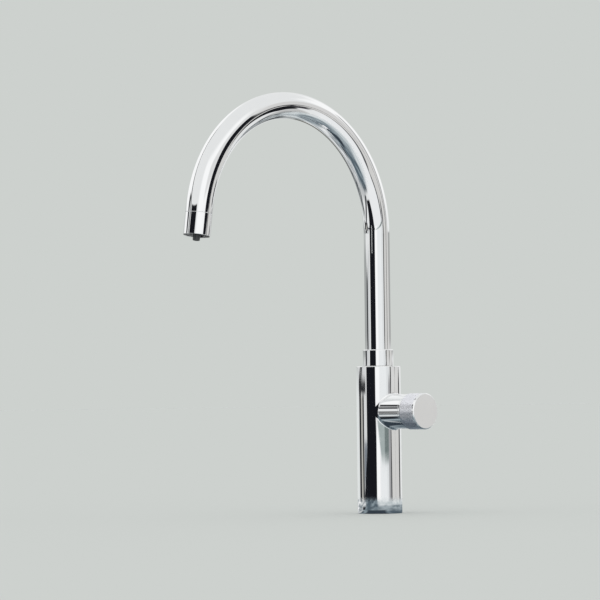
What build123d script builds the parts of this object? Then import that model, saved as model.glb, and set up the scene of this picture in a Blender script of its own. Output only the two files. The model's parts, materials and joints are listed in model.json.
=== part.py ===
"""Filtered water kitchen tap: a straight body with a side knob and a tall swivel spout.

Frame: millimetres, +Z up. The origin is the centre of the body's foot, on the worktop.
The spout points towards -Y and the knob's axis runs along +X. The knob is closed at rest.
"""
from build123d import *
import math
import os

os.makedirs("parts", exist_ok=True)

# Clearances
fit_gap = 0.05      # radial, between pieces that are screwed, pressed or soldered together
turn_gap = 0.08     # radial, where one piece turns or slides in another
loose_gap = 0.3     # between faces that must not touch
overrun = 1.0       # how far a cut runs past the face that it leaves by

# Shank, foot and body
shank_r = 16.0          # M32 thread, for a 35 mm tap hole
shank_wall = 3.5
shank_below = 75.0      # length under the worktop
seat_width = 3.5        # ring-shaped seat between the shank and the body's bore
body_wall = 3.0
body_height = 149.0
body_edge = 0.8         # bevel round the top of the body
top_plate = 5.0
gasket_thick = 3.0
plate_thick = 12.0
bore_r = shank_r + seat_width
body_r = bore_r + body_wall

# Spout tube
tube_r = 13.1
tube_wall = 1.5
tube_bore_r = tube_r - tube_wall
bend_z = 283.0          # height of the bend's centre
bend_r = 124.6          # radius of the bend's centre line
bend_sweep = 171.5      # degrees from straight up
stub_length = 5.0       # straight end of the tube, above the mouthpiece
seam_bevel = 0.3

# Spout foot: collar, spigot and its rings, from the socket's floor upwards
collar_wall = 2.4
collar_height = 16.6
collar_edge = 1.0
spigot_r = 10.42
spigot_flange = 1.2     # ledge that the tube stands on
spigot_in_tube = 24.4
spigot_way_r = 3.0
ring_wall = 2.5         # upper glide ring
ring_flange = 0.4       # its rim, between the body and the collar
spigot_end_gap = 0.7
land = 2.5              # plain band between two grooves
lower_ring_height = 3.0
lower_ring_wall = 1.2
spigot_seal = 2.0       # O-ring section
seal_play = 0.2         # a groove is wider than its ring by this on each side
top_land = 4.1
swivel_limit = 75.0     # degrees each way

# Screw that holds the spout and stops its swivel
stop_screw_r = 2.0
stop_tip_r = 1.2
stop_play = 0.3
stop_depth = 1.8
stop_key_r = 1.1

# Valve in the side of the body, stacked along +X from the block's centre
way_r = 2.5             # water ways in the block
seat_wall = 2.0
seal_thick = 1.5
disc_thick = 1.6
driver_thick = 2.2
chamber_play = 0.2
chamber_r = 9.05
nose_wall = 1.15
port_gap = 0.1
thread_step = 1.9       # the headpart's thread stands out from its nose by this
flange_step = 1.9       # and its flange from the thread
flange_play = 0.5
flange_thick = 1.5
hex_thick = 3.0
neck_floor = 3.5
neck_wall = 3.0
neck_reach = 22.0       # from the body's side to the end of the neck
barrel_setback = 4.5    # the headpart's barrel ends inside the neck
barrel_r = 8.5
spindle_r = 5.0
spline_r = 4.0
knob_turn = 90.0        # degrees from closed to open

# Knob
knob_gap = 0.5
knob_step = 0.7         # the knob stands out from the neck by this
knob_wall = 2.7
sleeve_length = 17.3
cap_thick = 2.2
cap_edge = 1.0

# Mouthpiece, along the water's way from the seam
mouth_length = 21.6
mouth_wall = 1.1
mouth_floor = 3.0       # from the seam to the wide bore
mouth_inset = 8.0       # length that goes up into the tube
insert_recess = 1.7
nozzle_drop = 4.7       # the nozzle stands out of the lip by this

# Worktop clamp
worktop = 40.0
rubber_thick = 3.0
washer_thick = 2.0
nut_thick = 12.0

# Radii that follow from the sizes above
block_r = bore_r - 2 * fit_gap
nose_r = chamber_r + nose_wall
port_r = nose_r + port_gap
head_thread_r = nose_r + thread_step
head_flange_r = head_thread_r + flange_step
neck_bore_r = head_flange_r + flange_play
neck_r = neck_bore_r + neck_wall
knob_r = neck_r + knob_step
knob_bore_r = knob_r - knob_wall
collar_r = tube_r + collar_wall
socket_r = spigot_r + turn_gap
mouth_bore_r = tube_r - mouth_wall

# Heights that follow: the socket is as deep as the spigot's grooves need
seal_groove = spigot_seal + 2 * seal_play
stop_groove = 2 * (stop_tip_r + stop_play)
socket_depth = (spigot_end_gap + 4 * land + lower_ring_height + 2 * seal_groove
                + stop_groove + top_land)
socket_floor = 5.0      # brass between the socket and the valve port
block_floor = 30.7      # brass under the valve port
block_top = body_height - top_plate - 2 * fit_gap
socket_floor_z = block_top - socket_depth
knob_z = socket_floor_z - socket_floor - port_r
block_bottom = knob_z - port_r - block_floor
plate_top = gasket_thick + plate_thick
spigot_foot_z = socket_floor_z + spigot_end_gap
lower_ring_z = spigot_foot_z + land
first_seal_z = lower_ring_z + lower_ring_height + land + seal_groove / 2
second_seal_z = first_seal_z + seal_groove + land
stop_z = second_seal_z + seal_groove / 2 + land + stop_groove / 2
collar_foot_z = body_height + ring_flange
tube_foot_z = collar_foot_z + spigot_flange
spigot_top_z = tube_foot_z + spigot_in_tube

# Places along the valve's axis that follow
seat_x = way_r + seat_wall
fixed_disc_x = seat_x + seal_thick
moving_disc_x = fixed_disc_x + disc_thick
driver_x = moving_disc_x + disc_thick
chamber_end_x = driver_x + driver_thick + chamber_play
neck_floor_x = bore_r + neck_floor
neck_end_x = body_r + neck_reach
barrel_end_x = neck_end_x - barrel_setback
knob_start_x = neck_end_x + knob_gap
sleeve_end_x = knob_start_x + sleeve_length
cap_end_x = sleeve_end_x + cap_thick

# Planes: level with the worktop, across the valve's axis, and across the outlet
level = Plane.XY
across_valve = Plane(origin=(0, 0, knob_z), x_dir=(0, 1, 0), z_dir=(1, 0, 0))
sweep_rad = math.radians(bend_sweep)
outlet_dir = Vector(0, -math.sin(sweep_rad), math.cos(sweep_rad))


def bend_point(angle):
    """A point of the spout's centre line, the angle in degrees from the bend's start."""
    turn = math.radians(angle)
    return Vector(0, bend_r * (math.cos(turn) - 1), bend_z + bend_r * math.sin(turn))


seam_point = bend_point(bend_sweep) + outlet_dir * stub_length
across_outlet = Plane(origin=seam_point, x_dir=(1, 0, 0), z_dir=outlet_dir)


def turned(plane, start, end, radius, mode=Mode.ADD):
    """One turned step of the open part, from start to end along the plane's normal."""
    with BuildSketch(plane.offset(start)) as section:
        Circle(radius)
    extrude(section.sketch, amount=end - start, mode=mode)


def drilled(plane, start, end, radius):
    """A round hole in the open part, from start to end along the plane's normal."""
    turned(plane, start, end, radius, mode=Mode.SUBTRACT)


def hexagon(plane, start, end, corner_r):
    """A hexagonal step for a spanner."""
    with BuildSketch(plane.offset(start)) as section:
        RegularPolygon(radius=corner_r, side_count=6)
    extrude(section.sketch, amount=end - start)


def pie(radius, start, size):
    """A slice of the open sketch, its angles in degrees from the sketch's own X."""
    with BuildLine() as outline:
        arc = CenterArc((0, 0), radius, start, size)
        Line((0, 0), arc @ 0)
        Line(arc @ 1, (0, 0))
    make_face(outline.edges())


def spout_route(foot_z, tail):
    """The spout's centre line: up the riser, round the bend and straight on by the tail."""
    end = bend_point(bend_sweep)
    with BuildLine() as route:
        Line((0, 0, foot_z), bend_point(0))
        ThreePointArc(bend_point(0), bend_point(bend_sweep / 2), end)
        Line(end, end + outlet_dir * tail)
    return route.wires()[0]


def pipe(foot_z, tail, radius, bore):
    """A round pipe of the open part along the spout's centre line."""
    with BuildSketch(level.offset(foot_z)) as section:
        Circle(radius)
        Circle(bore, mode=Mode.SUBTRACT)
    sweep(section.sketch, path=spout_route(foot_z, tail))


# Body shell: a turned tube with a top plate, a side opening for the neck and a small
# hole at the back for the key that turns the retaining screw.
with BuildPart() as body_shell:
    turned(level, 0, body_height, body_r)
    top_edge = body_shell.edges().sort_by(Axis.Z)[-1]
    chamfer(top_edge, length=body_edge)
    drilled(level, 0, body_height - top_plate, bore_r)
    drilled(level, 0, body_height + overrun, socket_r + ring_wall + fit_gap)
    drilled(across_valve, 0, body_r + overrun, neck_r + fit_gap)
    drilled(Plane(origin=(0, 0, stop_z), z_dir=(0, 1, 0)), 0, body_r + overrun, stop_screw_r - fit_gap)
body_shell.part.label = "body_shell"
export_step(body_shell.part, "parts/body_shell.step")

# Valve neck: a sleeve soldered into the side opening. Its inner end is a saddle on the
# body's bore, and its floor is threaded for the headpart.
neck_edge = 0.3
with BuildPart() as valve_neck:
    turned(across_valve, 0, neck_end_x, neck_r)
    outer_rim = valve_neck.faces().sort_by(Axis.X)[-1].edges()
    chamfer(outer_rim, length=neck_edge)
    drilled(across_valve, neck_floor_x, neck_end_x + overrun, neck_bore_r)
    drilled(across_valve, 0, neck_end_x, head_thread_r + fit_gap)
    drilled(level, knob_z - neck_r - overrun, knob_z + neck_r + overrun, bore_r)
valve_neck.part.label = "valve_neck"
export_step(valve_neck.part, "parts/valve_neck.step")

# Valve block: brass manifold. Water comes up the middle to the valve's seat, and from
# the valve a slanted way leads up into the socket that the spout stands in.
inlet_thread_r = 6.0
inlet_thread_length = 11.0
outlet_way_r = 1.8
window_x = (driver_x + chamber_end_x) / 2
way_start = Vector(window_x, 0, knob_z + chamber_r)
way_end = Vector(socket_r / 2, 0, socket_floor_z + overrun)
way_plane = Plane(origin=way_start, z_dir=way_end - way_start)
with BuildPart() as valve_block:
    turned(level, block_bottom, block_top, block_r)
    drilled(level, socket_floor_z, block_top + overrun, socket_r)
    drilled(across_valve, seat_x, block_r + overrun, port_r)
    drilled(level, block_bottom, knob_z, way_r)
    drilled(across_valve, 0, seat_x + overrun, way_r)
    drilled(level, block_bottom, block_bottom + inlet_thread_length + overrun, inlet_thread_r + fit_gap)
    drilled(way_plane, 0, (way_end - way_start).length, outlet_way_r)
    drilled(Plane(origin=(0, 0, stop_z), z_dir=(0, 1, 0)), 0, block_r + overrun, stop_screw_r + fit_gap)
valve_block.part.label = "valve_block"
export_step(valve_block.part, "parts/valve_block.step")

# Base plate: screwed into the foot of the body, and threaded inside for the shank.
with BuildPart() as base_plate:
    turned(level, gasket_thick, plate_top, bore_r - fit_gap)
    drilled(level, gasket_thick, plate_top, shank_r + fit_gap)
base_plate.part.label = "base_plate"
export_step(base_plate.part, "parts/base_plate.step")

# Base gasket: rubber ring that seals the foot on the worktop.
with BuildPart() as base_gasket:
    turned(level, 0, gasket_thick, bore_r - 2 * fit_gap)
    drilled(level, 0, gasket_thick, shank_r + loose_gap)
base_gasket.part.label = "base_gasket"
export_step(base_gasket.part, "parts/base_gasket.step")

# Fixing shank: hollow, threaded, down through the worktop.
shank_edge = 1.0
shank_bore_r = shank_r - shank_wall
with BuildPart() as fixing_shank:
    turned(level, -shank_below, plate_top, shank_r)
    lower_rim = fixing_shank.faces().sort_by(Axis.Z)[0].edges()
    chamfer(lower_rim, length=shank_edge)
    drilled(level, -shank_below, plate_top, shank_bore_r)
fixing_shank.part.label = "fixing_shank"
export_step(fixing_shank.part, "parts/fixing_shank.step")

# Inlet tube: screwed up into the block, with a G 3/8 union below the shank.
inlet_tube_r = 5.5
inlet_bore_r = 3.5
inlet_washer_thick = 1.5
inlet_hex_r = 8.6
inlet_hex_thick = 4.0
union_drop = 4.0        # from the shank's end to the union's hexagon
union_hex_r = 10.0
union_hex_thick = 6.0
union_r = 8.33
union_length = 14.0
union_edge = 0.8
inlet_shoulder_z = block_bottom - inlet_washer_thick
union_hex_z = -shank_below - union_drop
union_top_z = union_hex_z - union_hex_thick
union_end_z = union_top_z - union_length
with BuildPart() as inlet_tube:
    turned(level, union_end_z, union_top_z, union_r)
    union_rim = inlet_tube.faces().sort_by(Axis.Z)[0].edges()
    chamfer(union_rim, length=union_edge)
    hexagon(level, union_top_z, union_hex_z, union_hex_r)
    turned(level, union_hex_z, inlet_shoulder_z, inlet_tube_r)
    hexagon(level, inlet_shoulder_z - inlet_hex_thick, inlet_shoulder_z, inlet_hex_r)
    turned(level, inlet_shoulder_z, block_bottom + inlet_thread_length, inlet_thread_r)
    drilled(level, union_end_z, block_bottom + inlet_thread_length, inlet_bore_r)
inlet_tube.part.label = "inlet_tube"
export_step(inlet_tube.part, "parts/inlet_tube.step")

# Inlet washer: fibre ring between the inlet's shoulder and the block.
inlet_washer_r = 8.2
with BuildPart() as inlet_washer:
    turned(level, inlet_shoulder_z, block_bottom, inlet_washer_r)
    drilled(level, inlet_shoulder_z, block_bottom, inlet_thread_r + fit_gap)
inlet_washer.part.label = "inlet_washer"
export_step(inlet_washer.part, "parts/inlet_washer.step")

# Headpart housing: holds the ceramic discs in its nose and the spindle in its barrel.
# A crown at the barrel's end stops the spindle's clip at closed and at open.
nose_start_x = seat_x + loose_gap
thread_start_x = bore_r + 2 * fit_gap
flange_end_x = neck_floor_x + flange_thick
hex_end_x = flange_end_x + hex_thick
head_hex_r = 13.0
head_seal = 1.8
head_seal_x = chamber_end_x + head_seal
head_groove = head_seal + 2 * seal_play
window_width = 8.0
crown_length = 2.2
crown_wall = 1.9
tab_angle = 36.0
tab_play = 2.0          # degrees
closed_angle = 45.0     # place of the clip's tab when closed, from +Y towards +Z
tab_bore_r = barrel_r - crown_wall
crown_start = closed_angle + knob_turn + tab_angle / 2 + tab_play
crown_size = 360 - knob_turn - tab_angle - 2 * tab_play
with BuildPart() as headpart_housing:
    turned(across_valve, nose_start_x, thread_start_x, nose_r)
    turned(across_valve, thread_start_x, neck_floor_x, head_thread_r)
    turned(across_valve, neck_floor_x, flange_end_x, head_flange_r)
    hexagon(across_valve, flange_end_x, hex_end_x, head_hex_r)
    turned(across_valve, hex_end_x, barrel_end_x, barrel_r)
    with BuildSketch(across_valve.offset(barrel_end_x)):
        pie(barrel_r, crown_start, crown_size)
        Circle(tab_bore_r, mode=Mode.SUBTRACT)
    extrude(amount=crown_length)
    drilled(across_valve, nose_start_x, chamber_end_x, chamber_r)
    drilled(across_valve, chamber_end_x, barrel_end_x, spindle_r + turn_gap)
    with BuildSketch(across_valve.offset(head_seal_x - head_groove / 2)):
        Circle(nose_r + overrun)
        Circle(nose_r - head_seal, mode=Mode.SUBTRACT)
    extrude(amount=head_groove, mode=Mode.SUBTRACT)
    with BuildSketch(level.offset(knob_z)):
        with Locations((window_x, 0)):
            Rectangle(driver_thick, window_width)
    extrude(amount=nose_r + overrun, mode=Mode.SUBTRACT)
headpart_housing.part.label = "headpart_housing"
export_step(headpart_housing.part, "parts/headpart_housing.step")

# Headpart O-ring: seals the nose in the block's port.
with BuildPart() as headpart_o_ring:
    with Locations(across_valve.offset(head_seal_x)):
        Torus(nose_r - head_seal / 2, head_seal / 2 - fit_gap)
headpart_o_ring.part.label = "headpart_o_ring"
export_step(headpart_o_ring.part, "parts/headpart_o_ring.step")

# Lip seal: between the block's seat and the fixed disc.
disc_r = chamber_r - fit_gap
seal_wall = 1.8
with BuildPart() as lip_seal:
    turned(across_valve, seat_x, fixed_disc_x, disc_r)
    drilled(across_valve, seat_x, fixed_disc_x, disc_r - seal_wall)
lip_seal.part.label = "lip_seal"
export_step(lip_seal.part, "parts/lip_seal.step")

# Fixed ceramic disc: two ways, above and below the axis.
disc_way_r = 2.2
disc_way_offset = disc_r / 2
with BuildPart() as fixed_ceramic_disc:
    with BuildSketch(across_valve.offset(fixed_disc_x)):
        Circle(disc_r)
        with PolarLocations(disc_way_offset, 2, start_angle=90):
            Circle(disc_way_r, mode=Mode.SUBTRACT)
    extrude(amount=disc_thick)
fixed_ceramic_disc.part.label = "fixed_ceramic_disc"
export_step(fixed_ceramic_disc.part, "parts/fixed_ceramic_disc.step")

# Moving ceramic disc: its two ways lie across the fixed ones while the tap is closed.
# The spindle's tongue turns it by a slot in its back.
moving_disc_r = disc_r - loose_gap
tongue_width = 3.0
tongue_depth = 0.8
with BuildPart() as moving_ceramic_disc:
    with BuildSketch(across_valve.offset(moving_disc_x)):
        Circle(moving_disc_r)
        with PolarLocations(disc_way_offset, 2, start_angle=0):
            Circle(disc_way_r, mode=Mode.SUBTRACT)
    extrude(amount=disc_thick)
    with BuildSketch(across_valve.offset(driver_x)):
        Rectangle(tongue_width + 2 * fit_gap, 2 * disc_r)
    extrude(amount=-tongue_depth - fit_gap, mode=Mode.SUBTRACT)
moving_ceramic_disc.part.label = "moving_ceramic_disc"
export_step(moving_ceramic_disc.part, "parts/moving_ceramic_disc.step")

# Valve spindle: driver head, journal with two O-ring grooves, clip groove and spline.
driver_r = 8.0
spindle_seal = 1.6
spindle_groove = spindle_seal + 2 * seal_play
spindle_seal_pitch = 4.2
clip_thick = 0.8
clip_depth = 0.8        # depth of the clip's groove in the spindle
clip_x = barrel_end_x + loose_gap
spline_start_x = clip_x + clip_thick + loose_gap
web_setback = 4.0       # from the end of the knob's sleeve to its web
web_thick = 4.0
web_end_x = sleeve_end_x - web_setback
web_x = web_end_x - web_thick
spindle_end_x = web_x - loose_gap
spline_count = 20
spline_depth = 0.35
knob_screw_r = 2.0
knob_screw_length = 8.0
seal_xs = [barrel_end_x - (k + 1) * spindle_seal_pitch for k in range(2)]


def toothed(outer_r, depth, count):
    """A ring of pointed teeth in the open sketch."""
    tips = []
    for k in range(2 * count):
        radius = outer_r - depth * (k % 2)
        angle = math.pi * k / count
        tips.append((radius * math.cos(angle), radius * math.sin(angle)))
    Polygon(*tips, align=None)


with BuildPart() as valve_spindle:
    turned(across_valve, driver_x, driver_x + driver_thick, driver_r)
    with BuildSketch(across_valve.offset(driver_x)):
        Rectangle(tongue_width, 2 * driver_r)
        Circle(driver_r, mode=Mode.INTERSECT)
    extrude(amount=-tongue_depth)
    turned(across_valve, driver_x + driver_thick, spline_start_x, spindle_r)
    with BuildSketch(across_valve.offset(spline_start_x)):
        toothed(spline_r, spline_depth, spline_count)
    extrude(amount=spindle_end_x - spline_start_x)
    for seal_x in seal_xs:
        with BuildSketch(across_valve.offset(seal_x - spindle_groove / 2)):
            Circle(spindle_r + overrun)
            Circle(spindle_r - spindle_seal, mode=Mode.SUBTRACT)
        extrude(amount=spindle_groove, mode=Mode.SUBTRACT)
    with BuildSketch(across_valve.offset(clip_x)):
        Circle(spindle_r + overrun)
        Circle(spindle_r - clip_depth, mode=Mode.SUBTRACT)
    extrude(amount=clip_thick, mode=Mode.SUBTRACT)
    drilled(across_valve, spindle_end_x - knob_screw_length, spindle_end_x, knob_screw_r + fit_gap)
valve_spindle.part.label = "valve_spindle"
export_step(valve_spindle.part, "parts/valve_spindle.step")

# Spindle O-rings: a pair in the journal's grooves.
with BuildPart() as spindle_o_rings:
    with Locations(*[across_valve.offset(seal_x) for seal_x in seal_xs]):
        Torus(spindle_r - spindle_seal / 2, spindle_seal / 2 - fit_gap)
spindle_o_rings.part.label = "spindle_o_rings"
export_step(spindle_o_rings.part, "parts/spindle_o_rings.step")

# Spindle clip: holds the spindle in, and its tab runs between the crown's two ends.
clip_wall = 1.6
clip_inner_r = spindle_r - clip_depth + fit_gap
with BuildPart() as spindle_clip:
    with BuildSketch(across_valve.offset(clip_x)):
        Circle(clip_inner_r + clip_wall)
        pie(barrel_r, closed_angle - tab_angle / 2, tab_angle)
        Circle(clip_inner_r, mode=Mode.SUBTRACT)
    extrude(amount=clip_thick)
spindle_clip.part.label = "spindle_clip"
export_step(spindle_clip.part, "parts/spindle_clip.step")

# Knob carrier: the hub that grips the spline, and the web that fills the sleeve.
hub_r = 7.0
hub_start_x = barrel_end_x + crown_length + loose_gap
screw_head_r = 3.5
screw_head_thick = 2.2
with BuildPart() as knob_carrier:
    turned(across_valve, hub_start_x, web_x, hub_r)
    turned(across_valve, web_x, web_end_x, knob_bore_r - fit_gap)
    drilled(across_valve, hub_start_x, web_x, spline_r + fit_gap)
    drilled(across_valve, web_x, web_end_x, knob_screw_r + fit_gap)
    drilled(across_valve, web_end_x - screw_head_thick, web_end_x, screw_head_r + fit_gap)
knob_carrier.part.label = "knob_carrier"
export_step(knob_carrier.part, "parts/knob_carrier.step")

# Knob screw: socket head, through the web into the spindle's end.
screw_key_r = 1.5
with BuildPart() as knob_screw:
    turned(across_valve, web_end_x - screw_head_thick, web_end_x, screw_head_r)
    turned(across_valve, spindle_end_x - knob_screw_length + loose_gap, web_end_x - screw_head_thick,
           knob_screw_r)
    with BuildSketch(across_valve.offset(web_end_x)):
        RegularPolygon(radius=screw_key_r, side_count=6)
    extrude(amount=-screw_head_thick / 2, mode=Mode.SUBTRACT)
knob_screw.part.label = "knob_screw"
export_step(knob_screw.part, "parts/knob_screw.step")

# Knob sleeve: knurled round its grip, with a polished band next to the cap.
knurl_count = 110
knurl_depth = 0.3
sleeve_lip = 0.6        # plain rim at the neck's side
polished_band = 0.6
with BuildPart() as knob_sleeve:
    turned(across_valve, knob_start_x, knob_start_x + sleeve_lip, knob_r - knurl_depth)
    with BuildSketch(across_valve.offset(knob_start_x + sleeve_lip)):
        toothed(knob_r, knurl_depth, knurl_count)
    extrude(amount=sleeve_length - sleeve_lip - polished_band)
    turned(across_valve, sleeve_end_x - polished_band, sleeve_end_x, knob_r)
    drilled(across_valve, knob_start_x, sleeve_end_x, knob_bore_r)
knob_sleeve.part.label = "knob_sleeve"
export_step(knob_sleeve.part, "parts/knob_sleeve.step")

# Knob cap: polished disc with a skirt that is pressed into the sleeve.
cap_skirt = 3.0
cap_skirt_wall = 2.0
with BuildPart() as knob_cap:
    turned(across_valve, sleeve_end_x, cap_end_x, knob_r)
    face_rim = knob_cap.faces().sort_by(Axis.X)[-1].edges()
    chamfer(face_rim, length=cap_edge)
    turned(across_valve, sleeve_end_x - cap_skirt, sleeve_end_x, knob_bore_r - fit_gap)
    drilled(across_valve, sleeve_end_x - cap_skirt, sleeve_end_x, knob_bore_r - cap_skirt_wall)
knob_cap.part.label = "knob_cap"
export_step(knob_cap.part, "parts/knob_cap.step")

# Upper glide ring: the spout turns in it, and its rim carries the collar's weight.
ring_setback = 0.8      # the rim ends this far inside the collar's side
with BuildPart() as upper_glide_ring:
    turned(level, body_height - top_plate, body_height, socket_r + ring_wall)
    turned(level, body_height, collar_foot_z, collar_r - ring_setback)
    drilled(level, body_height - top_plate, collar_foot_z, socket_r)
upper_glide_ring.part.label = "upper_glide_ring"
export_step(upper_glide_ring.part, "parts/upper_glide_ring.step")

# Spout spigot: stands in the block's socket. The stop groove goes only part of the way
# round, so its ends meet the retaining screw at the limits of the swivel.
line_r = 4.0            # outside of the inner water line
line_seat = 10.0        # length of the line inside the spigot
stop_floor_r = spigot_r - stop_depth
stop_reach = math.degrees(math.asin((stop_tip_r + fit_gap) / stop_floor_r))
stop_half = swivel_limit + stop_reach
with BuildPart() as spout_spigot:
    turned(level, spigot_foot_z, collar_foot_z, spigot_r)
    turned(level, collar_foot_z, tube_foot_z, tube_r)
    turned(level, tube_foot_z, spigot_top_z, tube_bore_r - fit_gap)
    with BuildSketch(level.offset(lower_ring_z)):
        Circle(spigot_r + overrun)
        Circle(spigot_r - lower_ring_wall, mode=Mode.SUBTRACT)
    extrude(amount=lower_ring_height, mode=Mode.SUBTRACT)
    for seal_z in (first_seal_z, second_seal_z):
        with BuildSketch(level.offset(seal_z - seal_groove / 2)):
            Circle(spigot_r + overrun)
            Circle(spigot_r - spigot_seal, mode=Mode.SUBTRACT)
        extrude(amount=seal_groove, mode=Mode.SUBTRACT)
    with BuildSketch(level.offset(stop_z - stop_groove / 2)):
        pie(spigot_r + overrun, 90 - stop_half, 2 * stop_half)
        Circle(stop_floor_r, mode=Mode.SUBTRACT)
    extrude(amount=stop_groove, mode=Mode.SUBTRACT)
    drilled(level, spigot_foot_z, spigot_top_z, spigot_way_r)
    drilled(level, spigot_top_z - line_seat, spigot_top_z, line_r + fit_gap)
spout_spigot.part.label = "spout_spigot"
export_step(spout_spigot.part, "parts/spout_spigot.step")

# Spigot O-rings: a pair that seals the spout in the block's socket.
with BuildPart() as spigot_o_rings:
    with Locations((0, 0, first_seal_z), (0, 0, second_seal_z)):
        Torus(spigot_r - spigot_seal / 2, spigot_seal / 2 - fit_gap)
spigot_o_rings.part.label = "spigot_o_rings"
export_step(spigot_o_rings.part, "parts/spigot_o_rings.step")

# Lower glide ring: split plastic ring near the spigot's foot.
ring_slit = 1.5
with BuildPart() as lower_glide_ring:
    with BuildSketch(level.offset(lower_ring_z + fit_gap)):
        Circle(spigot_r)
        Circle(spigot_r - lower_ring_wall + fit_gap, mode=Mode.SUBTRACT)
        with Locations((0, spigot_r)):
            Rectangle(ring_slit, 2 * ring_wall, mode=Mode.SUBTRACT)
    extrude(amount=lower_ring_height - 2 * fit_gap)
lower_glide_ring.part.label = "lower_glide_ring"
export_step(lower_glide_ring.part, "parts/lower_glide_ring.step")

# Retaining screw: grub screw in the back of the block, with its tip in the stop groove.
with BuildPart() as retaining_screw:
    back = Plane(origin=(0, 0, stop_z), z_dir=(0, 1, 0))
    turned(back, socket_r, block_r, stop_screw_r)
    turned(back, stop_floor_r + loose_gap, socket_r, stop_tip_r)
    with BuildSketch(back.offset(block_r)):
        RegularPolygon(radius=stop_key_r, side_count=6)
    extrude(amount=-2 * stop_screw_r, mode=Mode.SUBTRACT)
retaining_screw.part.label = "retaining_screw"
export_step(retaining_screw.part, "parts/retaining_screw.step")

# Spout tube: a straight riser, one round bend, and a short straight end.
with BuildPart() as spout_tube:
    pipe(tube_foot_z, stub_length, tube_r, tube_bore_r)
    end_face = spout_tube.faces().sort_by_distance(seam_point)[0]
    chamfer(end_face.edges().sort_by(SortBy.RADIUS)[-1], length=seam_bevel)
spout_tube.part.label = "spout_tube"
export_step(spout_tube.part, "parts/spout_tube.step")

# Spout collar: the wider ring round the foot of the tube.
with BuildPart() as spout_collar:
    turned(level, collar_foot_z, collar_foot_z + collar_height, collar_r)
    collar_rims = spout_collar.edges().filter_by(GeomType.CIRCLE).sort_by(Axis.Z)
    chamfer(collar_rims[-1], length=collar_edge)
    drilled(level, collar_foot_z, collar_foot_z + collar_height, tube_r + fit_gap)
spout_collar.part.label = "spout_collar"
export_step(spout_collar.part, "parts/spout_collar.step")

# Inner water line: runs inside the spout from the spigot to the outlet's adapter.
line_wall = 1.25
adapter_depth = 4.0     # from the seam to the adapter's shoulder
with BuildPart() as inner_water_line:
    pipe(spigot_top_z - line_seat, stub_length + adapter_depth - loose_gap, line_r, line_r - line_wall)
inner_water_line.part.label = "inner_water_line"
export_step(inner_water_line.part, "parts/inner_water_line.step")

# Outlet housing: the chrome mouthpiece. Its upper end goes into the tube.
mouth_stem_r = 9.0
lip_bevel = 0.2
with BuildPart() as outlet_housing:
    turned(across_outlet, 0, mouth_length, tube_r)
    mouth_rims = outlet_housing.edges().filter_by(GeomType.CIRCLE).sort_by_distance(seam_point)
    chamfer(mouth_rims[0], length=seam_bevel)
    turned(across_outlet, -mouth_inset, 0, tube_bore_r - fit_gap)
    drilled(across_outlet, -mouth_inset, mouth_floor, mouth_stem_r)
    drilled(across_outlet, mouth_floor, mouth_length, mouth_bore_r)
    lip_point = seam_point + outlet_dir * mouth_length
    lip_face = outlet_housing.faces().sort_by_distance(lip_point)[0]
    chamfer(lip_face.edges(), length=lip_bevel)
outlet_housing.part.label = "outlet_housing"
export_step(outlet_housing.part, "parts/outlet_housing.step")

# Outlet adapter: takes the water line's end and carries the insert.
adapter_flange = 3.0
adapter_nose = 3.0
adapter_nose_r = 6.0
adapter_way_r = 3.0
adapter_top = 6.0       # length above the seam
insert_start = mouth_floor + adapter_flange
with BuildPart() as outlet_adapter:
    turned(across_outlet, -adapter_top, mouth_floor, mouth_stem_r - fit_gap)
    turned(across_outlet, mouth_floor, insert_start, mouth_bore_r - fit_gap)
    turned(across_outlet, insert_start, insert_start + adapter_nose, adapter_nose_r)
    drilled(across_outlet, -adapter_top, adapter_depth, line_r + fit_gap)
    drilled(across_outlet, adapter_depth, insert_start + adapter_nose, adapter_way_r)
outlet_adapter.part.label = "outlet_adapter"
export_step(outlet_adapter.part, "parts/outlet_adapter.step")

# Outlet seal: O-ring round the adapter's nose.
outlet_seal_r = 0.95
with BuildPart() as outlet_seal:
    with Locations(across_outlet.offset(insert_start + adapter_nose / 2)):
        Torus(adapter_nose_r + outlet_seal_r, outlet_seal_r - fit_gap)
outlet_seal.part.label = "outlet_seal"
export_step(outlet_seal.part, "parts/outlet_seal.step")

# Outlet insert: black plastic, set back from the lip, with a shallow ring in its face.
insert_end = mouth_length - insert_recess
nozzle_seat = 5.0       # from the insert's top to the nozzle's shoulder
nozzle_body_r = 4.55
nozzle_start = insert_start + nozzle_seat
face_ring_r = 8.6
face_ring_width = 1.2
face_ring_depth = 0.8
with BuildPart() as outlet_insert:
    turned(across_outlet, insert_start, insert_end, mouth_bore_r - fit_gap)
    drilled(across_outlet, insert_start, insert_start + adapter_nose + loose_gap,
            adapter_nose_r + 2 * outlet_seal_r)
    drilled(across_outlet, insert_start, nozzle_start, adapter_way_r)
    drilled(across_outlet, nozzle_start, insert_end, nozzle_body_r + fit_gap)
    with BuildSketch(across_outlet.offset(insert_end - face_ring_depth)):
        Circle(face_ring_r)
        Circle(face_ring_r - face_ring_width, mode=Mode.SUBTRACT)
    extrude(amount=face_ring_depth, mode=Mode.SUBTRACT)
outlet_insert.part.label = "outlet_insert"
export_step(outlet_insert.part, "parts/outlet_insert.step")

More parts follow.
